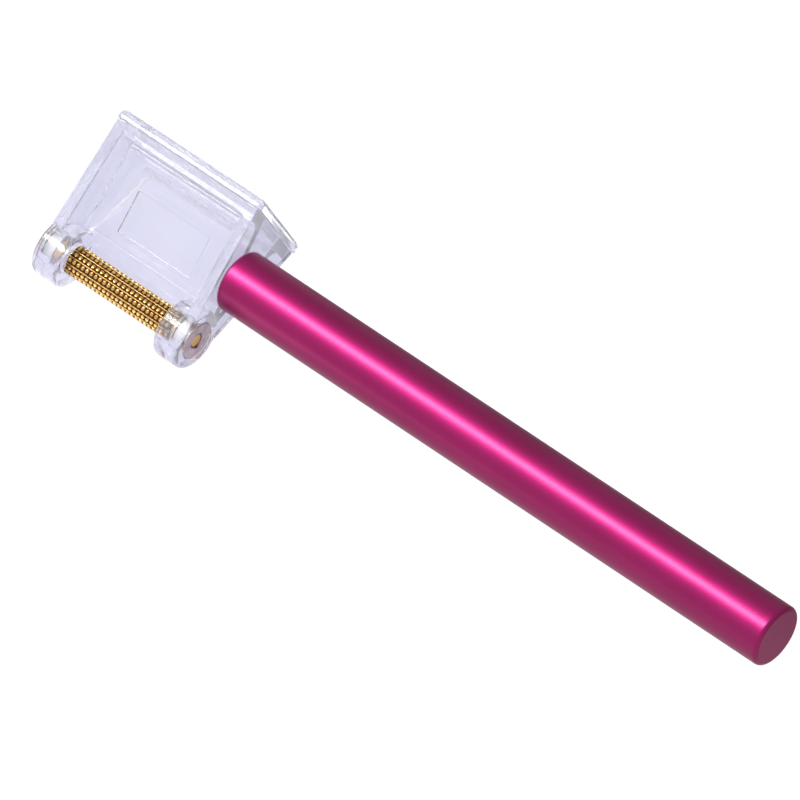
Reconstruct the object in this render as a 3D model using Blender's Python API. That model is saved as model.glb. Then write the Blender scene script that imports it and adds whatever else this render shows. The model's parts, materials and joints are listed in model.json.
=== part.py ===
"""Derma roller.

A gold needle roller spins between the two arms of a clear plastic head. The head is bonded to the end
of a straight anodised aluminium bar, whose axis is parallel to the roller's.

Every piece is modelled in the head's own frame: X runs along the roller's axis and on along the handle,
with zero at the outer face of the right boss, Y goes from the roller to the cap, and Z comes out of the
front. One empty then lays the whole tool on its back, on the bosses and the cap's lower edge.
"""

import math

import bmesh
import bpy
from mathutils import Matrix, Vector

MM = 0.001

# Driving dimensions
HEAD_WIDTH = 34.85 * MM
BOSS_RADIUS = 5.85 * MM
BOSS_LENGTH = 5.8 * MM
PLATE_LEAN = 0.83 * MM
BOSS_EDGE = 0.9 * MM
BOSS_INNER_EDGE = 0.8 * MM
PLATE_THICKNESS = 2.35 * MM
PLATE_TOP_INSET = 0.85 * MM
PLATE_TOP = 24.3 * MM
PLATE_HALF_DEPTH_TOP = 11.2 * MM
PLATE_HALF_DEPTH_AXIS = 4.6 * MM
TOP_WALL = 2.0 * MM
TOP_WALL_SETBACK = 0.15 * MM
WEB_FOOT = 2.6 * MM
WEB_FRONT_FOOT = -2.26 * MM
WEB_FRONT_TOP = 5.33 * MM
WEB_BACK_FOOT = 3.9 * MM
WEB_BACK_TOP = 6.0 * MM
WEB_WALL = 1.5 * MM
WEB_FILLET = 2.4 * MM
HOLLOW_FLOOR_HALF_DEPTH = 0.3 * MM
PANEL_WIDTH = 17.0 * MM
PANEL_LOW = 8.5 * MM
PANEL_HIGH = 16.4 * MM
PANEL_DEPTH = 0.5 * MM
CAP_THICKNESS = 1.9 * MM
CAP_SIDE = 0.3 * MM
CAP_HALF_DEPTH = 11.4 * MM
CAP_EDGE = 1.2 * MM
PLUG_DEPTH = 1.5 * MM
HANDLE_RADIUS = 6.0 * MM
HANDLE_LENGTH = 126.0 * MM
HANDLE_EDGE = 0.9 * MM
HANDLE_OFFSET = 13.0 * MM
HANDLE_FORWARD = 2.0 * MM
HANDLE_BORE_DEPTH = 10.0 * MM
SPIGOT_RADIUS = 3.4 * MM
SPIGOT_LENGTH = 9.0 * MM
ROLLER_FACE_RADIUS = 2.6 * MM
STRIP_COUNT = 12
ROLLER_TURN = math.radians(-13.0)
STRIP_CELLS = 26
STUD_PITCH = 1.03 * MM
STUD_HEIGHT = 0.24 * MM
STUD_MARGIN = 0.1 * MM
STRIP_INNER_RADIUS = 2.05 * MM
RIDGE_WIDTH = 0.14 * MM
RIDGE_HEIGHT = 0.16 * MM
AXLE_RADIUS = 1.3 * MM
AXLE_SETBACK = 0.25 * MM
AXLE_EDGE = 0.15 * MM
WASHER_RADIUS = 3.8 * MM
WASHER_HOLE = 1.5 * MM
WASHER_THICKNESS = 0.5 * MM
WASHER_POCKET = 0.6 * MM
BUSH_RADIUS = 2.1 * MM
ROLLER_POCKET_RADIUS = 3.1 * MM
ROLLER_POCKET_DEPTH = 2.6 * MM
END_RING_RADIUS = 2.6 * MM
END_RING_THICKNESS = 0.5 * MM
RUNNING_GAP = 0.06 * MM
FIXED_GAP = 0.1 * MM
JOINT_GAP = 0.2 * MM
CUTTER_OVERRUN = 1.0 * MM
ROUND_SEGMENTS = 96
SMALL_SEGMENTS = 32

# Worked out from them
HEAD_MIDDLE = -HEAD_WIDTH / 2
PLATE_OUTER = HEAD_WIDTH / 2 - PLATE_TOP_INSET
PLATE_INNER = PLATE_OUTER - PLATE_THICKNESS
PLATE_SLOPE = (PLATE_HALF_DEPTH_TOP - PLATE_HALF_DEPTH_AXIS) / PLATE_TOP
CEILING = PLATE_TOP - TOP_WALL
WEB_FRONT_SLOPE = (WEB_FRONT_TOP - WEB_FRONT_FOOT) / (CEILING - WEB_FOOT)
WEB_BACK_SLOPE = (WEB_BACK_TOP - WEB_BACK_FOOT) / (CEILING - WEB_FOOT)
CAP_BOTTOM = PLATE_TOP + FIXED_GAP
CAP_TOP = CAP_BOTTOM + CAP_THICKNESS
STRIP_LENGTH = STRIP_CELLS * STUD_PITCH
# The back lies on the two bosses and on the lower back edge of the cap
CAP_EDGE_REACH = math.hypot(CAP_HALF_DEPTH, CAP_BOTTOM)
REST_TILT = math.acos(BOSS_RADIUS / CAP_EDGE_REACH) - math.atan2(CAP_BOTTOM, CAP_HALF_DEPTH)


def clear_scene():
    for item in list(bpy.data.objects):
        bpy.data.objects.remove(item, do_unlink=True)


def make_material(name, colour, roughness, metallic=0.0, transmission=0.0):
    material = bpy.data.materials.new(name)
    material.use_nodes = True
    shader = material.node_tree.nodes["Principled BSDF"]
    shader.inputs["Base Color"].default_value = (*colour, 1.0)
    shader.inputs["Roughness"].default_value = roughness
    shader.inputs["Metallic"].default_value = metallic
    shader.inputs["Transmission Weight"].default_value = transmission
    material.diffuse_color = (*colour, 1.0)
    return material


def finish(bm, name, material, parent):
    """Turn a bmesh into a named object under its parent, with faces out and round sides smooth."""
    bmesh.ops.recalc_face_normals(bm, faces=bm.faces)
    mesh = bpy.data.meshes.new(name)
    bm.to_mesh(mesh)
    bm.free()
    mesh.shade_smooth()
    mesh.set_sharp_from_angle(angle=math.radians(35))
    return place(name, mesh, material, parent)


def place(name, mesh, material, parent):
    piece = bpy.data.objects.new(name, mesh)
    bpy.context.scene.collection.objects.link(piece)
    piece.parent = parent
    if material is not None and not mesh.materials:
        mesh.materials.append(material)
    return piece


def prism(outline, low, high):
    """A closed outline in Y and Z, extruded along X from low to high."""
    bm = bmesh.new()
    corners = [bm.verts.new((low, y, z)) for y, z in outline]
    face = bm.faces.new(corners)
    walls = bmesh.ops.extrude_face_region(bm, geom=[face])
    moved = [item for item in walls["geom"] if isinstance(item, bmesh.types.BMVert)]
    bmesh.ops.translate(bm, verts=moved, vec=(high - low, 0, 0))
    return bm


def turned(profile, segments, closed):
    """A profile of (x, radius) points turned about the X axis; a closed one makes a ring."""
    bm = bmesh.new()
    points = [bm.verts.new((x, radius, 0)) for x, radius in profile]
    edges = [bm.edges.new(pair) for pair in zip(points, points[1:])]
    if closed:
        edges.append(bm.edges.new((points[-1], points[0])))
    bmesh.ops.spin(
        bm, geom=points + edges, cent=(0, 0, 0), axis=(1, 0, 0), angle=math.tau,
        steps=segments, use_merge=True,
    )
    bmesh.ops.remove_doubles(bm, verts=bm.verts, dist=1e-7)
    return bm


def arc(centre, radius, start, end, steps):
    """Points on a circle about centre, from the start angle to the end angle, both in degrees."""
    angles = [math.radians(start + (end - start) * step / steps) for step in range(steps + 1)]
    return [(centre[0] + radius * math.cos(a), centre[1] + radius * math.sin(a)) for a in angles]


def ring_profile(low, high, inner, outer):
    return [(low, inner), (low, outer), (high, outer), (high, inner)]


def guide(bm, name, parent):
    """A hidden body for a Boolean, left out of the object itself."""
    body = finish(bm, name, None, parent)
    body.hide_render = True
    body.display_type = "WIRE"
    return body


def combine(piece, other, operation):
    modifier = piece.modifiers.new(f"{operation.lower()}_{other.name}", "BOOLEAN")
    modifier.operation = operation
    modifier.solver = "EXACT"
    modifier.object = other


def mirrored(value, side):
    """A place measured out from the head's middle, on the left (-1) or right (1) side of it."""
    return HEAD_MIDDLE + side * value


def span(near, far, side):
    """The same stretch of X on either side of the head's middle, lowest first."""
    return sorted((mirrored(near, side), mirrored(far, side)))


def plate_half_depth(height):
    """Half the depth of a side plate, at a height above the roller's axis."""
    return PLATE_HALF_DEPTH_AXIS + height * PLATE_SLOPE


def both_faces(front, back=None):
    """An outline's front half, closed by the back half, or by its own mirror image."""
    return front + [(y, -z) for y, z in reversed(front if back is None else back)]


def plate_outline():
    return both_faces([(PLATE_TOP, plate_half_depth(PLATE_TOP)), (0.0, plate_half_depth(0.0))])


def web_side(foot, top, slope):
    """One side of the web: its sloping face, the fillet under the top wall, and the wall's edge."""
    angle = math.atan(slope)
    tangent = WEB_FILLET * math.tan((math.pi / 2 - angle) / 2)
    centre = (CEILING - WEB_FILLET, top + tangent)
    fillet = arc(centre, WEB_FILLET, math.degrees(angle) - 90, 0, 5)
    wall = [(y, plate_half_depth(y) - TOP_WALL_SETBACK) for y in (CEILING, PLATE_TOP)]
    return [(WEB_FOOT, foot)] + fillet + wall


def web_outline():
    """The hollow web, which slopes back to its foot behind the roller, and the top wall over it."""
    front = web_side(WEB_FRONT_FOOT, WEB_FRONT_TOP, WEB_FRONT_SLOPE)
    return both_faces(front, web_side(WEB_BACK_FOOT, WEB_BACK_TOP, WEB_BACK_SLOPE))


def hollow_front(height):
    """How far forward the hollow inside the web reaches, at a height above the roller's axis."""
    face = WEB_FRONT_FOOT + (height - WEB_FOOT) * WEB_FRONT_SLOPE
    return face - WEB_WALL / math.cos(math.atan(WEB_FRONT_SLOPE))


def hollow_back(height):
    """How far back it reaches there."""
    face = WEB_BACK_FOOT + (height - WEB_FOOT) * WEB_BACK_SLOPE
    return face - WEB_WALL / math.cos(math.atan(WEB_BACK_SLOPE))


def pocket_outline():
    width_at_foot = hollow_front(WEB_FOOT) + hollow_back(WEB_FOOT)
    rise = (2 * HOLLOW_FLOOR_HALF_DEPTH - width_at_foot) / (WEB_FRONT_SLOPE + WEB_BACK_SLOPE)
    heights = (WEB_FOOT + rise, PLATE_TOP + CUTTER_OVERRUN)
    return both_faces([(y, hollow_front(y)) for y in heights], [(y, hollow_back(y)) for y in heights])


def leaning_plate(side):
    """A side plate. It leans outwards to its foot, where its outer face meets the boss's."""
    bm = prism(plate_outline(), *span(PLATE_INNER, PLATE_OUTER, side))
    lean = Matrix.Identity(4)
    lean[0][1] = -side * PLATE_LEAN / PLATE_TOP
    lean[0][3] = side * PLATE_LEAN
    bmesh.ops.transform(bm, matrix=lean, verts=bm.verts)
    return bm


def boss_profile(side):
    """A drum with rounded rims, from its inner face to its outer face."""
    inner = HEAD_WIDTH / 2 - BOSS_LENGTH
    outer = HEAD_WIDTH / 2
    rim = arc((outer - BOSS_EDGE, BOSS_RADIUS - BOSS_EDGE), BOSS_EDGE, 90, 0, 4)
    inner_rim = arc((inner + BOSS_INNER_EDGE, BOSS_RADIUS - BOSS_INNER_EDGE), BOSS_INNER_EDGE, 180, 90, 4)
    points = [(inner, 0.0)] + inner_rim + rim + [(outer, 0.0)]
    return [(mirrored(x, side), radius) for x, radius in points]


def make_head_body(material, head):
    """One clear moulding: hollow web and top wall, then plates, bosses and the spigot for the handle."""
    root_depth = PLATE_THICKNESS / 2
    root = PLATE_INNER + root_depth
    body = finish(prism(web_outline(), *span(-root, root, 1)), "head_body", material, head)
    over = root + CUTTER_OVERRUN
    combine(body, guide(prism(pocket_outline(), *span(-over, over, 1)), "web_hollow", head), "DIFFERENCE")
    combine(body, guide(panel_cutter(), "panel_front", head), "DIFFERENCE")
    for side, label in ((-1, "left"), (1, "right")):
        plate = guide(leaning_plate(side), f"plate_{label}", head)
        boss = guide(turned(boss_profile(side), ROUND_SEGMENTS, False), f"boss_{label}", head)
        combine(body, plate, "UNION")
        combine(body, boss, "UNION")
    low = mirrored(root, 1)
    high = handle_start() + SPIGOT_LENGTH
    ends = [(low, 0.0), (low, SPIGOT_RADIUS), (high, SPIGOT_RADIUS), (high, 0.0)]
    spigot = turned(ends, SMALL_SEGMENTS, False)
    bmesh.ops.translate(spigot, verts=spigot.verts, vec=(0, HANDLE_OFFSET, HANDLE_FORWARD))
    combine(body, guide(spigot, "handle_spigot", head), "UNION")
    for side, label in ((-1, "left"), (1, "right")):
        bore = guide(turned(boss_bore(side), SMALL_SEGMENTS, False), f"bore_{label}", head)
        combine(body, bore, "DIFFERENCE")
    return body


def boss_bore(side):
    """The stepped hole through a boss: the roller's pocket, the bush's seat and the washer's pocket."""
    inner = HEAD_WIDTH / 2 - BOSS_LENGTH
    outer = HEAD_WIDTH / 2
    seat_start = inner + ROLLER_POCKET_DEPTH
    seat_end = outer - WASHER_POCKET
    seat = BUSH_RADIUS + FIXED_GAP
    washer = WASHER_RADIUS + FIXED_GAP
    start = inner - CUTTER_OVERRUN
    end = outer + CUTTER_OVERRUN
    steps = [
        (start, 0.0), (start, ROLLER_POCKET_RADIUS), (seat_start, ROLLER_POCKET_RADIUS), (seat_start, seat),
        (seat_end, seat), (seat_end, washer), (end, washer), (end, 0.0),
    ]
    return [(mirrored(x, side), radius) for x, radius in steps]


def panel_cutter():
    """A shallow blank panel sunk in the sloping front face of the web."""
    angle = math.atan(WEB_FRONT_SLOPE)
    low = PANEL_LOW / math.cos(angle)
    high = PANEL_HIGH / math.cos(angle)
    outline = [(low, -PANEL_DEPTH), (high, -PANEL_DEPTH), (high, CUTTER_OVERRUN), (low, CUTTER_OVERRUN)]
    bm = prism(outline, HEAD_MIDDLE - PANEL_WIDTH / 2, HEAD_MIDDLE + PANEL_WIDTH / 2)
    bmesh.ops.rotate(bm, verts=bm.verts, cent=(0, 0, 0), matrix=Matrix.Rotation(angle, 3, "X"))
    rise = WEB_FRONT_FOOT - WEB_FOOT * WEB_FRONT_SLOPE
    bmesh.ops.translate(bm, verts=bm.verts, vec=(0, 0, rise))
    return bm


def make_head_cap(material, head):
    """The plate over the head, with a plug underneath that locates in the mouth of the hollow."""
    bm = bmesh.new()
    bmesh.ops.create_cube(bm, size=1.0)
    width = HEAD_WIDTH - 2 * CAP_SIDE
    bmesh.ops.scale(bm, verts=bm.verts, vec=(width, CAP_THICKNESS, 2 * CAP_HALF_DEPTH))
    bmesh.ops.translate(bm, verts=bm.verts, vec=(HEAD_MIDDLE, (CAP_BOTTOM + CAP_TOP) / 2, 0))
    above = [edge for edge in bm.edges if all(v.co.y > CAP_BOTTOM + CAP_THICKNESS / 2 for v in edge.verts)]
    upright = [edge for edge in bm.edges if abs(edge.verts[0].co.y - edge.verts[1].co.y) > CAP_THICKNESS / 2]
    bmesh.ops.bevel(
        bm, geom=above + upright, offset=CAP_EDGE, segments=8, profile=0.5, affect="EDGES", material=-1
    )
    cap = finish(bm, "head_cap", material, head)
    low = CAP_BOTTOM - PLUG_DEPTH
    high = CAP_BOTTOM + CAP_THICKNESS / 2
    front = hollow_front(low) - FIXED_GAP
    back = hollow_back(low) - FIXED_GAP
    reach = PLATE_INNER - FIXED_GAP
    outline = both_faces([(low, front), (high, front)], [(low, back), (high, back)])
    plug = prism(outline, *span(-reach, reach, 1))
    combine(cap, guide(plug, "cap_plug", head), "UNION")
    return cap


def handle_start():
    """Where the bar begins, just clear of the leaning plate all round."""
    lowest = HANDLE_OFFSET - HANDLE_RADIUS
    return mirrored(PLATE_OUTER + PLATE_LEAN * (1 - lowest / PLATE_TOP) + JOINT_GAP / 2, 1)


def make_handle(material, head):
    """A solid bar with rounded end edges and a blind bore for the head's spigot."""
    start = handle_start()
    end = start + HANDLE_LENGTH
    bore = SPIGOT_RADIUS + FIXED_GAP
    flat = HANDLE_RADIUS - HANDLE_EDGE
    head_rim = arc((start + HANDLE_EDGE, flat), HANDLE_EDGE, 180, 90, 4)
    free_rim = arc((end - HANDLE_EDGE, flat), HANDLE_EDGE, 90, 0, 4)
    profile = [(start + HANDLE_BORE_DEPTH, 0.0), (start + HANDLE_BORE_DEPTH, bore), (start, bore)]
    profile += head_rim + free_rim + [(end, 0.0)]
    bm = turned(profile, ROUND_SEGMENTS, False)
    handle = finish(bm, "handle_bar", material, head)
    handle.location = (0, HANDLE_OFFSET, HANDLE_FORWARD)
    return handle


def make_bearings(nylon, steel, head):
    """A bush and a washer in each boss."""
    for side, label in ((-1, "left"), (1, "right")):
        outer = HEAD_WIDTH / 2
        bush_end = outer - WASHER_POCKET - FIXED_GAP / 2
        bush_start = outer - BOSS_LENGTH + ROLLER_POCKET_DEPTH + FIXED_GAP
        bush = ring_profile(*span(bush_start, bush_end, side), AXLE_RADIUS + RUNNING_GAP, BUSH_RADIUS)
        finish(turned(bush, SMALL_SEGMENTS, True), f"bush_{label}", nylon, head)
        washer_start = outer - WASHER_POCKET + FIXED_GAP / 2
        low, high = span(washer_start, washer_start + WASHER_THICKNESS, side)
        washer = ring_profile(low, high, WASHER_HOLE, WASHER_RADIUS)
        finish(turned(washer, SMALL_SEGMENTS, True), f"washer_{label}", steel, head)


def strip_mesh(staggered):
    """One strip of the roller, facing +Z: a bar with a raised line along one edge and a row of studs."""
    half_angle = math.pi / STRIP_COUNT
    half_gap = FIXED_GAP / 2
    face = ROLLER_FACE_RADIUS
    face_half = face * math.tan(half_angle) - half_gap
    root = STRIP_INNER_RADIUS
    root_half = root * math.tan(half_angle) - half_gap
    ridge_top = face + RIDGE_HEIGHT
    outline = [
        (-root_half, root), (root_half, root), (face_half, face), (face_half, ridge_top),
        (face_half - RIDGE_WIDTH, ridge_top), (face_half - RIDGE_WIDTH, face), (-face_half, face),
    ]
    bm = prism(outline, -STRIP_LENGTH / 2, STRIP_LENGTH / 2)
    top = [
        item for item in bm.faces
        if all(abs(v.co.z - face) < 1e-7 and v.co.y < face_half - RIDGE_WIDTH / 2 for v in item.verts)
    ]
    first = STUD_PITCH / 2 if staggered else STUD_PITCH
    cuts = STRIP_CELLS if staggered else STRIP_CELLS - 1
    for step in range(cuts):
        edges = {edge for item in top for edge in item.edges}
        station = (-STRIP_LENGTH / 2 + first + step * STUD_PITCH, 0, 0)
        cut = bmesh.ops.bisect_plane(
            bm, geom=top + list(edges), plane_co=station, plane_no=(1, 0, 0), dist=1e-7
        )
        top = [item for item in cut["geom"] if isinstance(item, bmesh.types.BMFace)]
    full_cell = STUD_PITCH * (2 * face_half - RIDGE_WIDTH)
    cells = [item for item in top if item.calc_area() > 0.75 * full_cell]
    bmesh.ops.inset_individual(bm, faces=cells, thickness=STUD_MARGIN, depth=0.0)
    bmesh.ops.poke(bm, faces=cells, offset=STUD_HEIGHT)
    bmesh.ops.recalc_face_normals(bm, faces=bm.faces)
    mesh = bpy.data.meshes.new("strip_staggered" if staggered else "strip_plain")
    bm.to_mesh(mesh)
    bm.free()
    return mesh


def make_roller(gold, brass, spinner):
    """Core, twelve strips, two end rings and the axle, all about the spin axis."""
    half_length = STRIP_LENGTH / 2
    bore = AXLE_RADIUS + FIXED_GAP / 2
    core = ring_profile(-half_length, half_length, bore, STRIP_INNER_RADIUS - FIXED_GAP)
    finish(turned(core, SMALL_SEGMENTS, True), "roller_core", brass, spinner)
    meshes = [strip_mesh(False), strip_mesh(True)]
    for index in range(STRIP_COUNT):
        strip = place(f"needle_strip_{index + 1:02d}", meshes[index % 2], gold, spinner)
        strip.rotation_euler = (ROLLER_TURN + index * math.tau / STRIP_COUNT, 0, 0)
    for side, label in ((-1, "left"), (1, "right")):
        low = half_length + FIXED_GAP
        ends = sorted((side * low, side * (low + END_RING_THICKNESS)))
        ring = ring_profile(*ends, bore, END_RING_RADIUS)
        finish(turned(ring, SMALL_SEGMENTS, True), f"end_ring_{label}", brass, spinner)
    reach = HEAD_WIDTH / 2 - AXLE_SETBACK
    rim = AXLE_RADIUS - AXLE_EDGE
    pin = [(-reach, 0.0), (-reach, rim), (AXLE_EDGE - reach, AXLE_RADIUS)]
    pin += [(-x, radius) for x, radius in reversed(pin)]
    finish(turned(pin, SMALL_SEGMENTS, False), "axle_pin", brass, spinner)


def stand_on_base(frame):
    """Move the frame so that the middle of the base of all the pieces is at the origin."""
    bpy.context.view_layer.update()
    depsgraph = bpy.context.evaluated_depsgraph_get()
    corners = []
    for item in bpy.context.scene.objects:
        if item.type == "MESH" and not item.hide_render:
            solid = item.evaluated_get(depsgraph)
            corners += [item.matrix_world @ v.co for v in solid.data.vertices]
    low = Vector([min(c[axis] for c in corners) for axis in range(3)])
    high = Vector([max(c[axis] for c in corners) for axis in range(3)])
    frame.location -= Vector(((low.x + high.x) / 2, (low.y + high.y) / 2, low.z))


clear_scene()
clear_plastic = make_material("clear_plastic", (0.86, 0.86, 0.95), 0.05, transmission=0.9)
anodised = make_material("anodised_magenta", (0.55, 0.02, 0.22), 0.3, metallic=1.0)
gold_plate = make_material("gold_plate", (0.83, 0.55, 0.16), 0.25, metallic=1.0)
brass_plate = make_material("brass", (0.72, 0.5, 0.22), 0.35, metallic=1.0)
washer_steel = make_material("washer_steel", (0.55, 0.5, 0.54), 0.3, metallic=1.0)
natural_nylon = make_material("natural_nylon", (0.88, 0.87, 0.84), 0.45)

head_frame = bpy.data.objects.new("head_frame", None)
bpy.context.scene.collection.objects.link(head_frame)
head_frame.rotation_euler = (REST_TILT, 0, 0)
spin_axis = bpy.data.objects.new("spin_axis", None)
bpy.context.scene.collection.objects.link(spin_axis)
spin_axis.parent = head_frame
spin_axis.location = (HEAD_MIDDLE, 0, 0)

make_head_body(clear_plastic, head_frame)
make_head_cap(clear_plastic, head_frame)
make_handle(anodised, head_frame)
make_bearings(natural_nylon, washer_steel, head_frame)
make_roller(gold_plate, brass_plate, spin_axis)
stand_on_base(head_frame)
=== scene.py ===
"""The looks of a derma roller: a clear moulded head, a gold stud roller and an anodised bar handle."""

import json
import math

import bmesh
import bpy
from mathutils import Matrix, Vector


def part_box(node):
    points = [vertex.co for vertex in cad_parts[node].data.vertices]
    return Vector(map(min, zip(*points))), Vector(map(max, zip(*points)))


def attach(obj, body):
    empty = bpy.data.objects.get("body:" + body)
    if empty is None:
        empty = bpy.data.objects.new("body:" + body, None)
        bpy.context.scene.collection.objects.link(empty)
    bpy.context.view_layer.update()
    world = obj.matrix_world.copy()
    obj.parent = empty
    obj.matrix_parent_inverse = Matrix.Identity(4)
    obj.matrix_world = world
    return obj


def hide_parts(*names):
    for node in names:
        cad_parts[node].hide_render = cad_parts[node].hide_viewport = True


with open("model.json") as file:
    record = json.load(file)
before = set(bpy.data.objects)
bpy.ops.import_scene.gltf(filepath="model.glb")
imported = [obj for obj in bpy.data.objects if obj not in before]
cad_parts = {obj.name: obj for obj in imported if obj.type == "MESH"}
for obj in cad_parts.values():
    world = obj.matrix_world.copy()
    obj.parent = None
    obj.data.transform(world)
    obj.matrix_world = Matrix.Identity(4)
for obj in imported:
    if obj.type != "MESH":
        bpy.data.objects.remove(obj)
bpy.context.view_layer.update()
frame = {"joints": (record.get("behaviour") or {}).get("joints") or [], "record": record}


# ---- Head body -------------------------------------------------------------------------------------
# One clear acrylic moulding: two side plates that widen towards the cap and lean out to a round boss at
# the foot of each, a hollow sloping web between them under a top wall, and a spigot for the handle.
# Everything on the head is shaped in millimetres about the middle of the roller, then laid in place.
HEAD_WIDTH = 34.85
PLATE_THICKNESS = 2.35
PLATE_TOP_INSET = 0.85
PLATE_LEAN = 0.83
PLATE_TOP = 24.3
PLATE_HALF_DEPTH_FOOT = 4.6
PLATE_HALF_DEPTH_TOP = 11.2
PLATE_EDGE = 0.28
BOSS_RADIUS = 5.85
BOSS_LENGTH = 5.8
BOSS_EDGE = 0.9
BOSS_INNER_EDGE = 0.8
CEILING = 22.3
WALL_SETBACK = 0.15
WEB_FOOT = 2.6
WEB_FRONT = (-2.26, 5.33)
WEB_BACK = (3.9, 6.0)
WEB_WALL = 1.5
WEB_FILLET = 2.4
HOLLOW_FLOOR_HALF_DEPTH = 0.3
FILLET_STEPS = 10
PANEL_WIDTH = 17.0
PANEL_LOW = 8.5
PANEL_HIGH = 16.4
PANEL_DEPTH = 0.5
PANEL_EDGE = 0.2
SPIGOT_RADIUS = 3.4
SPIGOT_LENGTH = 9.0
SPIGOT_EDGE = 0.3
SPIGOT_STEPS = 64
ROLLER_POCKET_RADIUS = 3.1
ROLLER_POCKET_DEPTH = 2.6
BUSH_RADIUS = 2.1
WASHER_RADIUS = 3.8
WASHER_POCKET = 0.6
FIT = 0.1
OVERRUN = 1.0
TOUCH = 1e-4
ROUND_STEPS = 96
EDGE_STEPS = 8
SHARP_ANGLE = 32
BUMP_DEPTH = 0.0002
CLEAR_SHADES = (0.93, 0.93, 0.975), (0.96, 0.96, 0.985)

PLATE_OUTER = HEAD_WIDTH / 2 - PLATE_TOP_INSET
PLATE_INNER = PLATE_OUTER - PLATE_THICKNESS
PLATE_SLOPE = (PLATE_HALF_DEPTH_TOP - PLATE_HALF_DEPTH_FOOT) / PLATE_TOP

spin_point = Vector(frame["joints"][0]["pos_m"])
cap_mount = next(mount for mount in frame["record"]["mounts"] if mount["name"] == "cap_top")
head_lean = math.atan2(cap_mount["axis"][2], cap_mount["axis"][1])
head_place = Matrix.Translation(spin_point) @ Matrix.Rotation(head_lean, 4, "X") @ Matrix.Scale(0.001, 4)


def plate_half_depth(height):
    return PLATE_HALF_DEPTH_FOOT + height * PLATE_SLOPE


def close_outline(front, back=None):
    """The front of an outline in (height, depth), closed by its back or by the same again behind."""
    return front + [(height, -depth) for height, depth in reversed(front if back is None else back)]


def curve_points(centre, radius, start, end, steps):
    turns = [math.radians(start + (end - start) * step / steps) for step in range(steps + 1)]
    return [(centre[0] + radius * math.cos(turn), centre[1] + radius * math.sin(turn)) for turn in turns]


def slab(outline, low, high, edge=0.0, steps=3):
    """A flat outline of (height, depth) pushed through from low to high, with every edge eased."""
    bm = bmesh.new()
    face = bm.faces.new([bm.verts.new((low, height, depth)) for height, depth in outline])
    pushed = bmesh.ops.extrude_face_region(bm, geom=[face])
    moved = [item for item in pushed["geom"] if isinstance(item, bmesh.types.BMVert)]
    bmesh.ops.translate(bm, verts=moved, vec=(high - low, 0, 0))
    bmesh.ops.recalc_face_normals(bm, faces=bm.faces)
    if edge:
        bmesh.ops.bevel(
            bm, geom=bm.edges[:], offset=edge, segments=steps, profile=0.5, affect="EDGES", material=-1
        )
    return bm


def lathe(profile, segments=ROUND_STEPS, closed=False):
    """A profile of (along the axis, radius) turned about the roller's axis."""
    bm = bmesh.new()
    points = [bm.verts.new((x, radius, 0)) for x, radius in profile]
    edges = [bm.edges.new(pair) for pair in zip(points, points[1:])]
    if closed:
        edges.append(bm.edges.new((points[-1], points[0])))
    bmesh.ops.spin(
        bm, geom=points + edges, cent=(0, 0, 0), axis=(1, 0, 0), angle=math.tau, steps=segments,
        use_merge=True,
    )
    bmesh.ops.remove_doubles(bm, verts=bm.verts, dist=TOUCH)
    bmesh.ops.recalc_face_normals(bm, faces=bm.faces)
    return bm


def flip_side(bm, side):
    """The left-hand copy of a shape that was made for the right."""
    if side < 0:
        bmesh.ops.scale(bm, verts=bm.verts, vec=(-1, 1, 1))
        bmesh.ops.reverse_faces(bm, faces=bm.faces)
    return bm


def blank(bm, name):
    """A loose solid in millimetres, to be fused with others before it is laid in place."""
    mesh = bpy.data.meshes.new(name)
    bm.to_mesh(mesh)
    bm.free()
    solid = bpy.data.objects.new(name, mesh)
    bpy.context.scene.collection.objects.link(solid)
    return solid


def fuse(solid, other, operation):
    """Add or cut away the other solid, and clear it off the bench."""
    step = solid.modifiers.new("fuse", "BOOLEAN")
    step.operation = operation
    step.solver = "EXACT"
    step.object = other
    bpy.context.view_layer.update()
    shaped = solid.evaluated_get(bpy.context.evaluated_depsgraph_get())
    solid.data = bpy.data.meshes.new_from_object(shaped)
    solid.modifiers.clear()
    bpy.data.objects.remove(other)


def lay_in_place(solid, material, body, replaced, sharp=SHARP_ANGLE):
    """Move a finished solid from the bench to its place, and tie it to the body that carries it."""
    mesh = solid.data
    mesh.transform(head_place)
    mesh.shade_smooth()
    mesh.set_sharp_from_angle(angle=math.radians(sharp))
    mesh.materials.clear()
    mesh.materials.append(material)
    shading = solid.modifiers.new("even_shading", "WEIGHTED_NORMAL")
    shading.keep_sharp = True
    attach(solid, body)
    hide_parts(*replaced)


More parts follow.
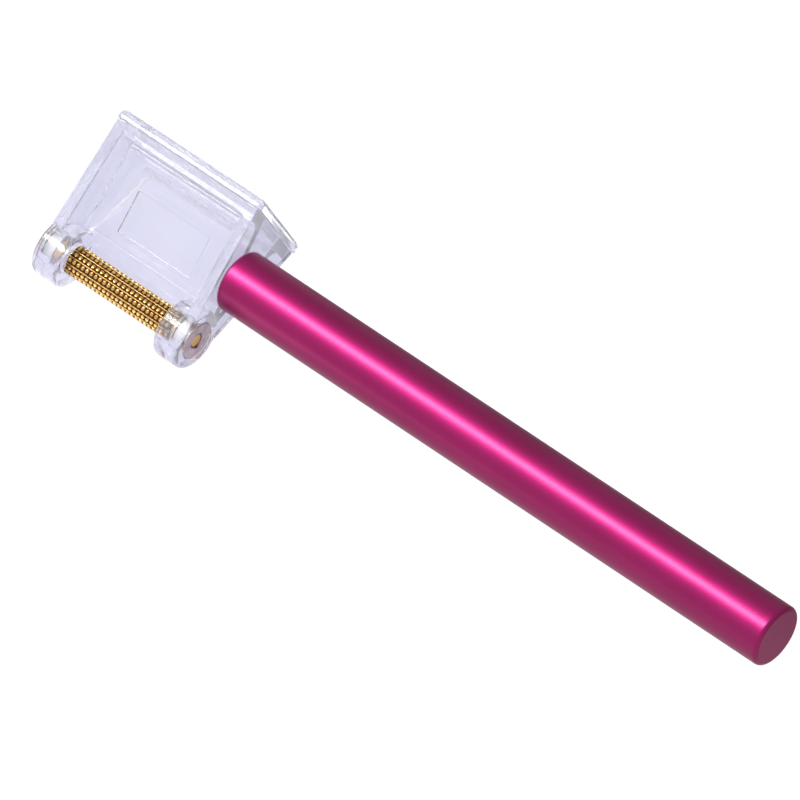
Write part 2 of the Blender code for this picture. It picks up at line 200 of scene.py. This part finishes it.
def surface_group():
    """Fine handling marks and slow ripple, as masks for roughness and a height for a bump."""
    group = bpy.data.node_groups.new("handled_surface", "ShaderNodeTree")
    group.interface.new_socket(name="Mark Scale", in_out="INPUT", socket_type="NodeSocketFloat")
    group.interface.new_socket(name="Ripple Scale", in_out="INPUT", socket_type="NodeSocketFloat")
    group.interface.new_socket(name="Low", in_out="INPUT", socket_type="NodeSocketFloat")
    group.interface.new_socket(name="High", in_out="INPUT", socket_type="NodeSocketFloat")
    group.interface.new_socket(name="Roughness", in_out="OUTPUT", socket_type="NodeSocketFloat")
    group.interface.new_socket(name="Height", in_out="OUTPUT", socket_type="NodeSocketFloat")
    nodes, links = group.nodes, group.links
    given = nodes.new("NodeGroupInput")
    result = nodes.new("NodeGroupOutput")
    place = nodes.new("ShaderNodeTexCoord")
    marks = nodes.new("ShaderNodeTexNoise")
    marks.inputs["Detail"].default_value = 5.0
    ripple = nodes.new("ShaderNodeTexNoise")
    ripple.inputs["Detail"].default_value = 1.0
    spread = nodes.new("ShaderNodeMapRange")
    spread.inputs["From Min"].default_value = 0.35
    spread.inputs["From Max"].default_value = 0.7
    links.new(place.outputs["Object"], marks.inputs["Vector"])
    links.new(place.outputs["Object"], ripple.inputs["Vector"])
    links.new(given.outputs["Mark Scale"], marks.inputs["Scale"])
    links.new(given.outputs["Ripple Scale"], ripple.inputs["Scale"])
    links.new(marks.outputs["Fac"], spread.inputs["Value"])
    links.new(given.outputs["Low"], spread.inputs["To Min"])
    links.new(given.outputs["High"], spread.inputs["To Max"])
    links.new(spread.outputs["Result"], result.inputs["Roughness"])
    links.new(ripple.outputs["Fac"], result.inputs["Height"])
    return group


handled_surface = surface_group()


def new_finish(name, marks, ripple, low, high, bump):
    """A material whose roughness and bump come from the handled surface."""
    material = bpy.data.materials.new(name)
    material.use_nodes = True
    nodes, links = material.node_tree.nodes, material.node_tree.links
    shader = nodes["Principled BSDF"]
    surface = nodes.new("ShaderNodeGroup")
    surface.node_tree = handled_surface
    surface.inputs["Mark Scale"].default_value = marks
    surface.inputs["Ripple Scale"].default_value = ripple
    surface.inputs["Low"].default_value = low
    surface.inputs["High"].default_value = high
    relief = nodes.new("ShaderNodeBump")
    relief.inputs["Strength"].default_value = bump
    relief.inputs["Distance"].default_value = BUMP_DEPTH
    links.new(surface.outputs["Roughness"], shader.inputs["Roughness"])
    links.new(surface.outputs["Height"], relief.inputs["Height"])
    links.new(relief.outputs["Normal"], shader.inputs["Normal"])
    return material, nodes, links, shader


def cloudy_colour(nodes, links, scale, dark, light):
    """Two close shades of one colour that drift into each other over the surface."""
    place = nodes.new("ShaderNodeTexCoord")
    cloud = nodes.new("ShaderNodeTexNoise")
    cloud.inputs["Scale"].default_value = scale
    cloud.inputs["Detail"].default_value = 3.0
    shades = nodes.new("ShaderNodeValToRGB")
    shades.color_ramp.elements[0].position = 0.35
    shades.color_ramp.elements[0].color = (*dark, 1.0)
    shades.color_ramp.elements[1].position = 0.65
    shades.color_ramp.elements[1].color = (*light, 1.0)
    links.new(place.outputs["Object"], cloud.inputs["Vector"])
    links.new(cloud.outputs["Fac"], shades.inputs["Fac"])
    return shades.outputs["Color"]


clear_plastic, nodes, links, shader = new_finish("clear_plastic", 900.0, 160.0, 0.09, 0.15, 0.01)
links.new(cloudy_colour(nodes, links, 120.0, *CLEAR_SHADES), shader.inputs["Base Color"])
shader.inputs["Transmission Weight"].default_value = 0.93
shader.inputs["IOR"].default_value = 1.49


def face_depth(face, height):
    """How far a sloping face of the web stands out, at a height above the roller."""
    foot, top = face
    return foot + (height - WEB_FOOT) * (top - foot) / (CEILING - WEB_FOOT)


def face_angle(face):
    return math.atan2(face[1] - face[0], CEILING - WEB_FOOT)


def hollow_depth(face, height):
    return face_depth(face, height) - WEB_WALL / math.cos(face_angle(face))


def web_side(face):
    """A sloping face, the fillet at its head, and the edge of the top wall."""
    angle = face_angle(face)
    centre = (CEILING - WEB_FILLET, face[1] + WEB_FILLET * math.tan((math.pi / 2 - angle) / 2))
    fillet = curve_points(centre, WEB_FILLET, math.degrees(angle) - 90, 0, FILLET_STEPS)
    wall = [(height, plate_half_depth(height) - WALL_SETBACK) for height in (CEILING, PLATE_TOP)]
    return [(WEB_FOOT, face[0])] + fillet + wall


web_root = PLATE_OUTER - PLATE_THICKNESS / 2
web_outline = close_outline(web_side(WEB_FRONT), web_side(WEB_BACK))
clear_head = blank(slab(web_outline, -web_root, web_root), "clear_head")

hollow_at_foot = hollow_depth(WEB_FRONT, WEB_FOOT) + hollow_depth(WEB_BACK, WEB_FOOT)
hollow_spread = math.tan(face_angle(WEB_FRONT)) + math.tan(face_angle(WEB_BACK))
hollow_floor = WEB_FOOT + (2 * HOLLOW_FLOOR_HALF_DEPTH - hollow_at_foot) / hollow_spread
hollow_heights = (hollow_floor, PLATE_TOP + OVERRUN)
hollow_outline = close_outline(
    [(height, hollow_depth(WEB_FRONT, height)) for height in hollow_heights],
    [(height, hollow_depth(WEB_BACK, height)) for height in hollow_heights],
)
hollow = slab(hollow_outline, -web_root - OVERRUN, web_root + OVERRUN)
fuse(clear_head, blank(hollow, "hollow"), "DIFFERENCE")

front_angle = face_angle(WEB_FRONT)
panel_low, panel_high = PANEL_LOW / math.cos(front_angle), PANEL_HIGH / math.cos(front_angle)
panel_section = [
    (panel_low, -PANEL_DEPTH), (panel_high, -PANEL_DEPTH), (panel_high, OVERRUN), (panel_low, OVERRUN),
]
panel = slab(panel_section, -PANEL_WIDTH / 2, PANEL_WIDTH / 2, PANEL_EDGE, 2)
bmesh.ops.rotate(panel, verts=panel.verts, cent=(0, 0, 0), matrix=Matrix.Rotation(front_angle, 3, "X"))
bmesh.ops.translate(panel, verts=panel.verts, vec=(0, 0, face_depth(WEB_FRONT, 0.0)))
fuse(clear_head, blank(panel, "panel"), "DIFFERENCE")

plate_outline = close_outline([(PLATE_TOP, PLATE_HALF_DEPTH_TOP), (0.0, PLATE_HALF_DEPTH_FOOT)])
plate_lean = Matrix.Identity(4)
plate_lean[0][1] = -PLATE_LEAN / PLATE_TOP
plate_lean[0][3] = PLATE_LEAN
boss_start = HEAD_WIDTH / 2 - BOSS_LENGTH
boss_end = HEAD_WIDTH / 2
boss_profile = [(boss_start, 0.0)]
boss_profile += curve_points(
    (boss_start + BOSS_INNER_EDGE, BOSS_RADIUS - BOSS_INNER_EDGE), BOSS_INNER_EDGE, 180, 90, EDGE_STEPS
)
boss_profile += curve_points((boss_end - BOSS_EDGE, BOSS_RADIUS - BOSS_EDGE), BOSS_EDGE, 90, 0, EDGE_STEPS)
boss_profile += [(boss_end, 0.0)]
for side in (1, -1):
    plate = slab(plate_outline, PLATE_INNER, PLATE_OUTER, PLATE_EDGE)
    bmesh.ops.transform(plate, matrix=plate_lean, verts=plate.verts)
    fuse(clear_head, blank(flip_side(plate, side), "plate"), "UNION")
    fuse(clear_head, blank(flip_side(lathe(boss_profile), side), "boss"), "UNION")

handle_low, handle_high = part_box("handle_bar")
to_bench = head_place.inverted()
handle_near = to_bench @ Vector((handle_low.x, *((handle_low + handle_high) / 2).yz))
spigot_end = handle_near.x + SPIGOT_LENGTH
spigot_profile = [(web_root, 0.0), (web_root, SPIGOT_RADIUS)]
spigot_profile += [(spigot_end - SPIGOT_EDGE, SPIGOT_RADIUS), (spigot_end, SPIGOT_RADIUS - SPIGOT_EDGE)]
spigot_profile += [(spigot_end, 0.0)]
spigot = lathe(spigot_profile, SPIGOT_STEPS)
bmesh.ops.translate(spigot, verts=spigot.verts, vec=(0, handle_near.y, handle_near.z))
fuse(clear_head, blank(spigot, "spigot"), "UNION")

bush_seat = boss_start + ROLLER_POCKET_DEPTH
washer_seat = boss_end - WASHER_POCKET
bore_profile = [
    (boss_start - OVERRUN, 0.0), (boss_start - OVERRUN, ROLLER_POCKET_RADIUS),
    (bush_seat, ROLLER_POCKET_RADIUS), (bush_seat, BUSH_RADIUS + FIT),
    (washer_seat, BUSH_RADIUS + FIT), (washer_seat, WASHER_RADIUS + FIT),
    (boss_end + OVERRUN, WASHER_RADIUS + FIT), (boss_end + OVERRUN, 0.0),
]
for side in (1, -1):
    fuse(clear_head, blank(flip_side(lathe(bore_profile), side), "bore"), "DIFFERENCE")

lay_in_place(clear_head, clear_plastic, "tool", ["head_body"])


# ---- Head cap --------------------------------------------------------------------------------------
# A clear plate bonded over the top of the head. It overhangs the plates a little and its outer edges
# and upright corners are well rounded. A plug underneath locates it in the mouth of the hollow web.
CAP_THICKNESS = 1.9
CAP_SIDE = 0.3
CAP_HALF_DEPTH = 11.4
CAP_EDGE = 1.2
CAP_LOWER_EDGE = 0.15
PLUG_DEPTH = 1.5
PLUG_EDGE = 0.1

cap_bottom = PLATE_TOP + FIT
cap = bmesh.new()
bmesh.ops.create_cube(cap, size=1.0)
bmesh.ops.scale(cap, verts=cap.verts, vec=(HEAD_WIDTH - 2 * CAP_SIDE, CAP_THICKNESS, 2 * CAP_HALF_DEPTH))
bmesh.ops.translate(cap, verts=cap.verts, vec=(0, cap_bottom + CAP_THICKNESS / 2, 0))
cap_above = [e for e in cap.edges if min(v.co.y for v in e.verts) > cap_bottom + CAP_THICKNESS / 2]
cap_upright = [e for e in cap.edges if abs(e.verts[0].co.y - e.verts[1].co.y) > CAP_THICKNESS / 2]
bmesh.ops.bevel(
    cap, geom=cap_above + cap_upright, offset=CAP_EDGE, segments=EDGE_STEPS, profile=0.5, affect="EDGES",
    material=-1,
)
cap_below = [e for e in cap.edges if max(v.co.y for v in e.verts) < cap_bottom + TOUCH]
bmesh.ops.bevel(
    cap, geom=cap_below, offset=CAP_LOWER_EDGE, segments=2, profile=0.5, affect="EDGES", material=-1
)
clear_cap = blank(cap, "clear_cap")
plug_bottom = cap_bottom - PLUG_DEPTH
plug_heights = (plug_bottom, cap_bottom + CAP_THICKNESS / 2)
plug_outline = close_outline(
    [(height, hollow_depth(WEB_FRONT, plug_bottom) - FIT) for height in plug_heights],
    [(height, hollow_depth(WEB_BACK, plug_bottom) - FIT) for height in plug_heights],
)
plug = slab(plug_outline, FIT - PLATE_INNER, PLATE_INNER - FIT, PLUG_EDGE, 1)
fuse(clear_cap, blank(plug, "plug"), "UNION")
lay_in_place(clear_cap, clear_plastic, "tool", ["head_cap"])


# ---- Handle ----------------------------------------------------------------------------------------
# A solid aluminium bar, turned, satin blasted and anodised magenta. Its end edges are rounded over, and
# a blind bore in its near end takes the head's spigot.
HANDLE_RADIUS = 6.0
HANDLE_EDGE = 0.9
HANDLE_BORE_DEPTH = 10.0
HANDLE_STEPS = 128
ANODISED_SHADES = (0.27, 0.004, 0.088), (0.30, 0.005, 0.100)

handle_start = handle_near.x
handle_end = (to_bench @ handle_high).x
flat_radius = HANDLE_RADIUS - HANDLE_EDGE
bore_radius = SPIGOT_RADIUS + FIT
bar_profile = [(handle_start + HANDLE_BORE_DEPTH, 0.0), (handle_start + HANDLE_BORE_DEPTH, bore_radius)]
bar_profile += [(handle_start, bore_radius)]
bar_profile += curve_points((handle_start + HANDLE_EDGE, flat_radius), HANDLE_EDGE, 180, 90, EDGE_STEPS)
bar_profile += curve_points((handle_end - HANDLE_EDGE, flat_radius), HANDLE_EDGE, 90, 0, EDGE_STEPS)
bar_profile += [(handle_end, 0.0)]
bar = lathe(bar_profile, HANDLE_STEPS)
bmesh.ops.translate(bar, verts=bar.verts, vec=(0, handle_near.y, handle_near.z))

anodised, nodes, links, shader = new_finish("anodised_magenta", 5000.0, 9000.0, 0.40, 0.46, 0.04)
links.new(cloudy_colour(nodes, links, 60.0, *ANODISED_SHADES), shader.inputs["Base Color"])
shader.inputs["Metallic"].default_value = 1.0
shader.inputs["Coat Weight"].default_value = 0.2
shader.inputs["Coat Roughness"].default_value = 0.25
shader.inputs["Coat IOR"].default_value = 1.9
lay_in_place(blank(bar, "handle_tube"), anodised, "tool", ["handle_bar"])


# ---- Bearings --------------------------------------------------------------------------------------
# In each boss, a plain nylon bush that the axle turns in, and a turned steel washer let into the outer
# face over it. Both are pressed in.
AXLE_RADIUS = 1.3
RUNNING_GAP = 0.06
WASHER_HOLE = 1.5
WASHER_THICKNESS = 0.5
WASHER_EDGE = 0.2
BUSH_EDGE = 0.1
BUSH_STEPS = 48
NYLON_SHADES = (0.80, 0.79, 0.76), (0.88, 0.87, 0.84)
STEEL_SHADES = (0.40, 0.33, 0.37), (0.54, 0.46, 0.50)

nylon, nodes, links, shader = new_finish("natural_nylon", 1500.0, 400.0, 0.4, 0.55, 0.05)
links.new(cloudy_colour(nodes, links, 300.0, *NYLON_SHADES), shader.inputs["Base Color"])
shader.inputs["Subsurface Weight"].default_value = 0.2
shader.inputs["Subsurface Scale"].default_value = 0.0005

steel, nodes, links, shader = new_finish("washer_steel", 1500.0, 3000.0, 0.22, 0.34, 0.02)
links.new(cloudy_colour(nodes, links, 500.0, *STEEL_SHADES), shader.inputs["Base Color"])
shader.inputs["Metallic"].default_value = 1.0


def eased_ring(low, high, inner, outer, edge):
    """A ring's section with all four corners chamfered."""
    return [
        (low, inner + edge), (low, outer - edge), (low + edge, outer), (high - edge, outer),
        (high, outer - edge), (high, inner + edge), (high - edge, inner), (low + edge, inner),
    ]


bush_low = bush_seat + FIT
bush_high = washer_seat - FIT / 2
washer_low = washer_seat + FIT / 2
washer_high = washer_low + WASHER_THICKNESS
bush_section = eased_ring(bush_low, bush_high, AXLE_RADIUS + RUNNING_GAP, BUSH_RADIUS, BUSH_EDGE)
washer_section = eased_ring(washer_low, washer_high, WASHER_HOLE, WASHER_RADIUS, WASHER_EDGE)
for side, label in ((1, "right"), (-1, "left")):
    bush = lathe(bush_section, BUSH_STEPS, True)
    bush = blank(flip_side(bush, side), f"nylon_bush_{label}")
    lay_in_place(bush, nylon, "tool", [f"bush_{label}"])
    washer = lathe(washer_section, ROUND_STEPS, True)
    washer = blank(flip_side(washer, side), f"steel_washer_{label}")
    lay_in_place(washer, steel, "tool", [f"washer_{label}"])


# ---- Roller strips ---------------------------------------------------------------------------------
# Twelve gold-plated strips set side by side around the drum. Each has one row of short round studs and
# a raised line along one edge, and neighbours are staggered by half a pitch. What stands up is polished,
# and the low faces and the feet of the studs are painted dark brown as shade. The "raised" value on each
# point tells the material so.
STRIP_COUNT = 12
ROLLER_TURN = math.radians(-13.0)
STRIP_CELLS = 26
STUD_PITCH = 1.03
STUD_RADIUS = 0.44
STUD_CROWN_RADIUS = 0.35
STUD_HEIGHT = 0.17
STUD_CROWN = 0.08
STUD_SIDES = 12
ROLLER_FACE_RADIUS = 2.6
STRIP_INNER_RADIUS = 2.05
RIDGE_WIDTH = 0.18
RIDGE_HEIGHT = 0.16
RIDGE_STEPS = 6
STUD_SHARP_ANGLE = 40
GOLD_SHADES = (0.66, 0.40, 0.12), (0.84, 0.56, 0.22)
# Painted shade: the dark brown given to the low faces of the strips, standing in for shade in the recesses.
GOLD_RECESS_PAINTED_SHADE = (0.07, 0.03, 0.008, 1.0)
RECESS_ROUGHNESS = 0.6

gold, nodes, links, shader = new_finish("gold_plate", 2500.0, 1500.0, 0.12, 0.22, 0.03)
worn = cloudy_colour(nodes, links, 900.0, *GOLD_SHADES)
raised = nodes.new("ShaderNodeAttribute")
raised.attribute_name = "raised"
# The base colour runs from the painted recess shade at the foot of each stud and ridge to gold at the top.
colour = nodes.new("ShaderNodeMix")
colour.data_type = "RGBA"
colour.inputs["A"].default_value = GOLD_RECESS_PAINTED_SHADE
links.new(raised.outputs["Fac"], colour.inputs["Factor"])
links.new(worn, colour.inputs["B"])
links.new(colour.outputs["Result"], shader.inputs["Base Color"])
dull = nodes.new("ShaderNodeMix")
dull.inputs["A"].default_value = RECESS_ROUGHNESS
polish = shader.inputs["Roughness"].links[0].from_socket
links.new(raised.outputs["Fac"], dull.inputs["Factor"])
links.new(polish, dull.inputs["B"])
links.new(dull.outputs["Result"], shader.inputs["Roughness"])
shader.inputs["Metallic"].default_value = 1.0

strip_length = STRIP_CELLS * STUD_PITCH
half_angle = math.pi / STRIP_COUNT
face_half = ROLLER_FACE_RADIUS * math.tan(half_angle) - FIT / 2
root_half = STRIP_INNER_RADIUS * math.tan(half_angle) - FIT / 2
ridge_top = ROLLER_FACE_RADIUS + RIDGE_HEIGHT
ridge_side = face_half - RIDGE_WIDTH
ridge_centre = (face_half - RIDGE_WIDTH / 2, ridge_top - RIDGE_WIDTH / 2)
strip_outline = [
    (-root_half, STRIP_INNER_RADIUS), (root_half, STRIP_INNER_RADIUS), (face_half, ROLLER_FACE_RADIUS),
    *curve_points(ridge_centre, RIDGE_WIDTH / 2, 0, 180, RIDGE_STEPS),
    (ridge_side, ROLLER_FACE_RADIUS), (-face_half, ROLLER_FACE_RADIUS),
]
stud_row = (ridge_side - face_half) / 2
for index in range(STRIP_COUNT):
    strip = slab(strip_outline, -strip_length / 2, strip_length / 2)
    studs = STRIP_CELLS - 1 if index % 2 else STRIP_CELLS
    for stud_index in range(studs):
        along = (stud_index - (studs - 1) / 2) * STUD_PITCH
        bmesh.ops.create_cone(
            strip, cap_ends=True, segments=STUD_SIDES, radius1=STUD_RADIUS, radius2=STUD_CROWN_RADIUS,
            depth=STUD_HEIGHT + FIT,
            matrix=Matrix.Translation((along, stud_row, ROLLER_FACE_RADIUS + (STUD_HEIGHT - FIT) / 2)),
        )
        top = ROLLER_FACE_RADIUS + STUD_HEIGHT - TOUCH
        crown = [f for f in strip.faces if len(f.verts) == STUD_SIDES and f.calc_center_median().z > top]
        bmesh.ops.poke(strip, faces=crown, offset=STUD_CROWN)
    height_mask = strip.verts.layers.float.new("raised")
    for vertex in strip.verts:
        vertex[height_mask] = min(max((vertex.co.z - ROLLER_FACE_RADIUS) / STUD_HEIGHT, 0.0), 1.0)
    turn = Matrix.Rotation(ROLLER_TURN + index * math.tau / STRIP_COUNT, 3, "X")
    bmesh.ops.rotate(strip, verts=strip.verts, cent=(0, 0, 0), matrix=turn)
    bmesh.ops.recalc_face_normals(strip, faces=strip.faces)
    strip = blank(strip, f"gold_strip_{index + 1:02d}")
    lay_in_place(strip, gold, "roller", [f"needle_strip_{index + 1:02d}"], STUD_SHARP_ANGLE)


# ---- Drum, end rings and axle ----------------------------------------------------------------------
# The brass drum that the strips are set on, a ring at each end that closes it, and the pin through it.
# The drum and the rings are pressed onto the pin, so all of them turn together in the bushes.
RING_RADIUS = 2.6
RING_THICKNESS = 0.5
AXLE_SETBACK = 0.25
AXLE_EDGE = 0.15
AXLE_STEPS = 48
AXLE_EDGE_STEPS = 4
RING_EDGE = 0.08
DRUM_EDGE = 0.05
DRUM_STEPS = 64
BRASS_SHADES = (0.50, 0.30, 0.11), (0.72, 0.47, 0.20)

brass, nodes, links, shader = new_finish("brass", 2000.0, 1200.0, 0.25, 0.4, 0.05)
links.new(cloudy_colour(nodes, links, 700.0, *BRASS_SHADES), shader.inputs["Base Color"])
shader.inputs["Metallic"].default_value = 1.0

bore = AXLE_RADIUS + FIT / 2
drum_half = strip_length / 2
drum_section = eased_ring(-drum_half, drum_half, bore, STRIP_INNER_RADIUS - FIT, DRUM_EDGE)
drum = lathe(drum_section, DRUM_STEPS, True)
lay_in_place(blank(drum, "brass_drum"), brass, "roller", ["roller_core"])
ring_low = drum_half + FIT
ring_section = eased_ring(ring_low, ring_low + RING_THICKNESS, bore, RING_RADIUS, RING_EDGE)
for side, label in ((1, "right"), (-1, "left")):
    ring = blank(flip_side(lathe(ring_section, DRUM_STEPS, True), side), f"brass_ring_{label}")
    lay_in_place(ring, brass, "roller", [f"end_ring_{label}"])
axle_reach = HEAD_WIDTH / 2 - AXLE_SETBACK
axle_tip = curve_points((axle_reach - AXLE_EDGE, AXLE_RADIUS - AXLE_EDGE), AXLE_EDGE, 0, 90, AXLE_EDGE_STEPS)
axle_profile = [(axle_reach, 0.0)] + axle_tip
axle_profile += [(-x, radius) for x, radius in reversed(axle_profile)]
lay_in_place(blank(lathe(axle_profile, AXLE_STEPS), "axle"), brass, "roller", ["axle_pin"])


# ---- Studio ----------------------------------------------------------------------------------------
# A glowing floor that the tool lies on, a pale room, and a long soft strip light over the handle. The
# floor is white when seen and lavender through the plastic. What the tool mirrors is set on its own: it
# fades towards the back, and the floor's is brightest at the roller's end.
FLOOR_SIZE = 12.0
FLOOR_MATT = (0.06, 0.06, 0.06, 1.0)
FLOOR_SEEN = (1.0, 1.0, 1.0, 1.0)
FLOOR_THROUGH_BACK = (0.58, 0.58, 0.77, 1.0)
FLOOR_THROUGH_FRONT = (0.80, 0.80, 0.96, 1.0)
MIRRORED_TINT = (1.0, 0.95, 1.0, 1.0)
FLOOR_FADE_SPAN = (-0.03, 0.03)
FLOOR_FADE = (1.0, 0.35)
FLOOR_CARD_SPAN = (-0.060, -0.046)
FLOOR_CARD = (1.9, 1.0)
ROOM_FADE_SPAN = (-1.0, 1.0)
ROOM_FADE = (0.9, 0.55)
ROOM_LOW = (0.68, 0.68, 0.85, 1.0)
ROOM_HIGH = (0.98, 0.98, 1.0, 1.0)
ROOM_HIGH_AT = 0.6
STRIP_LIGHT_PLACE = Vector((-0.45, -0.13, 0.95))
STRIP_LIGHT_LENGTH = 1.5
STRIP_LIGHT_WIDTH = 0.28
STRIP_LIGHT_POWER = 17.5
CAMERA_DISTANCE = 3.0
VIEW_WIDTH = 0.14265
SWING = math.radians(25.0)
TIP = math.radians(8.0)
ROLL = math.radians(33.58)
AIM_ALONG = 35.89
AIM_ACROSS = 11.29


def mirrored_rays(nodes, links):
    """One where something is seen as a reflection, nought where it is seen plainly or through glass."""
    ray = nodes.new("ShaderNodeLightPath")
    only = nodes.new("ShaderNodeMath")
    only.operation = "SUBTRACT"
    only.use_clamp = True
    links.new(ray.outputs["Is Glossy Ray"], only.inputs[0])
    links.new(ray.outputs["Is Transmission Ray"], only.inputs[1])
    return only.outputs["Value"]


def position(nodes, links, kind):
    """The place of a point, as separate X, Y and Z."""
    place = nodes.new("ShaderNodeTexCoord")
    split = nodes.new("ShaderNodeSeparateXYZ")
    links.new(place.outputs[kind], split.inputs["Vector"])
    return split.outputs


def graded(nodes, links, value, span, strengths):
    """A strength that goes from the first to the second as the value crosses its span."""
    grade = nodes.new("ShaderNodeMapRange")
    grade.inputs["From Min"].default_value = span[0]
    grade.inputs["From Max"].default_value = span[1]
    grade.inputs["To Min"].default_value = strengths[0]
    grade.inputs["To Max"].default_value = strengths[1]
    links.new(value, grade.inputs["Value"])
    return grade.outputs["Result"]


def choose_shader(nodes, links, output, seen, mirrored):
    """One look for what is seen and another for what is mirrored."""
    result = nodes.new(output)
    choose = nodes.new("ShaderNodeMixShader")
    links.new(mirrored_rays(nodes, links), choose.inputs["Fac"])
    links.new(seen, choose.inputs[1])
    links.new(mirrored, choose.inputs[2])
    links.new(choose.outputs["Shader"], result.inputs["Surface"])


floor_mesh = bmesh.new()
bmesh.ops.create_grid(floor_mesh, x_segments=8, y_segments=8, size=FLOOR_SIZE / 2)
floor = blank(floor_mesh, "floor")
floor_paint = bpy.data.materials.new("floor_paint")
floor_paint.use_nodes = True
nodes, links = floor_paint.node_tree.nodes, floor_paint.node_tree.links
nodes.clear()
spot = position(nodes, links, "Object")
fade = graded(nodes, links, spot["Y"], FLOOR_FADE_SPAN, FLOOR_FADE)
card = graded(nodes, links, spot["X"], FLOOR_CARD_SPAN, FLOOR_CARD)
bounce = nodes.new("ShaderNodeMath")
bounce.operation = "MULTIPLY"
links.new(fade, bounce.inputs[0])
links.new(card, bounce.inputs[1])
dim = nodes.new("ShaderNodeEmission")
dim.inputs["Color"].default_value = MIRRORED_TINT
links.new(bounce.outputs["Value"], dim.inputs["Strength"])
through = nodes.new("ShaderNodeMix")
through.data_type = "RGBA"
through.inputs["A"].default_value = FLOOR_THROUGH_FRONT
through.inputs["B"].default_value = FLOOR_THROUGH_BACK
links.new(fade, through.inputs["Factor"])
camera_ray = nodes.new("ShaderNodeLightPath")
shade = nodes.new("ShaderNodeMix")
shade.data_type = "RGBA"
shade.inputs["B"].default_value = FLOOR_SEEN
links.new(camera_ray.outputs["Is Camera Ray"], shade.inputs["Factor"])
links.new(through.outputs["Result"], shade.inputs["A"])
glow = nodes.new("ShaderNodeEmission")
links.new(shade.outputs["Result"], glow.inputs["Color"])
matt = nodes.new("ShaderNodeBsdfDiffuse")
matt.inputs["Color"].default_value = FLOOR_MATT
lit = nodes.new("ShaderNodeAddShader")
links.new(matt.outputs["BSDF"], lit.inputs[0])
links.new(glow.outputs["Emission"], lit.inputs[1])
choose_shader(nodes, links, "ShaderNodeOutputMaterial", lit.outputs["Shader"], dim.outputs["Emission"])
floor.data.materials.append(floor_paint)

world = bpy.data.worlds.new("room")
bpy.context.scene.world = world
world.use_nodes = True
nodes, links = world.node_tree.nodes, world.node_tree.links
nodes.clear()
direction = position(nodes, links, "Generated")
pale = nodes.new("ShaderNodeBackground")
shades = nodes.new("ShaderNodeValToRGB")
shades.color_ramp.elements[0].position = 0.0
shades.color_ramp.elements[0].color = ROOM_LOW
shades.color_ramp.elements[1].position = ROOM_HIGH_AT
shades.color_ramp.elements[1].color = ROOM_HIGH
links.new(direction["Z"], shades.inputs["Fac"])
links.new(shades.outputs["Color"], pale.inputs["Color"])
dim = nodes.new("ShaderNodeBackground")
dim.inputs["Color"].default_value = MIRRORED_TINT
room_fade = graded(nodes, links, direction["Y"], ROOM_FADE_SPAN, ROOM_FADE)
links.new(room_fade, dim.inputs["Strength"])
choose_shader(nodes, links, "ShaderNodeOutputWorld", pale.outputs["Background"], dim.outputs["Background"])

lamp = bpy.data.lights.new("overhead_strip", "AREA")
lamp.shape = "RECTANGLE"
lamp.size = STRIP_LIGHT_LENGTH
lamp.size_y = STRIP_LIGHT_WIDTH
lamp.energy = STRIP_LIGHT_POWER
light = bpy.data.objects.new("overhead_strip", lamp)
bpy.context.scene.collection.objects.link(light)
lamp_back = STRIP_LIGHT_PLACE.normalized()
lamp_across = lamp_back.cross(Vector((1, 0, 0))).normalized()
lamp_axes = Matrix((lamp_across.cross(lamp_back), lamp_across, lamp_back)).transposed().to_4x4()
light.matrix_world = Matrix.Translation(STRIP_LIGHT_PLACE) @ lamp_axes
light.visible_camera = False

camera_data = bpy.data.cameras.new("camera")
camera_data.lens = camera_data.sensor_width * CAMERA_DISTANCE / VIEW_WIDTH
camera = bpy.data.objects.new("camera", camera_data)
bpy.context.scene.collection.objects.link(camera)
bpy.context.scene.camera = camera
across = Vector((0, math.cos(TIP), math.sin(TIP)))
front = Vector((0, -math.sin(TIP), math.cos(TIP)))
along = math.cos(SWING) * Vector((1, 0, 0)) - math.sin(SWING) * front
toward = math.sin(SWING) * Vector((1, 0, 0)) + math.cos(SWING) * front
right = math.cos(ROLL) * along + math.sin(ROLL) * across
up = math.cos(ROLL) * across - math.sin(ROLL) * along
lean = Matrix.Rotation(head_lean, 3, "X")
aim = head_place @ (Vector((HEAD_WIDTH / 2, 0, 0)) + AIM_ALONG * along + AIM_ACROSS * across)
stand = aim + (lean @ toward) * CAMERA_DISTANCE
turn = (lean @ Matrix((right, up, toward)).transposed()).to_4x4()
camera.matrix_world = Matrix.Translation(stand) @ turn

scene = bpy.context.scene
scene.view_settings.view_transform = "Standard"
scene.cycles.max_bounces = 32
scene.cycles.glossy_bounces = 24
scene.cycles.transmission_bounces = 32
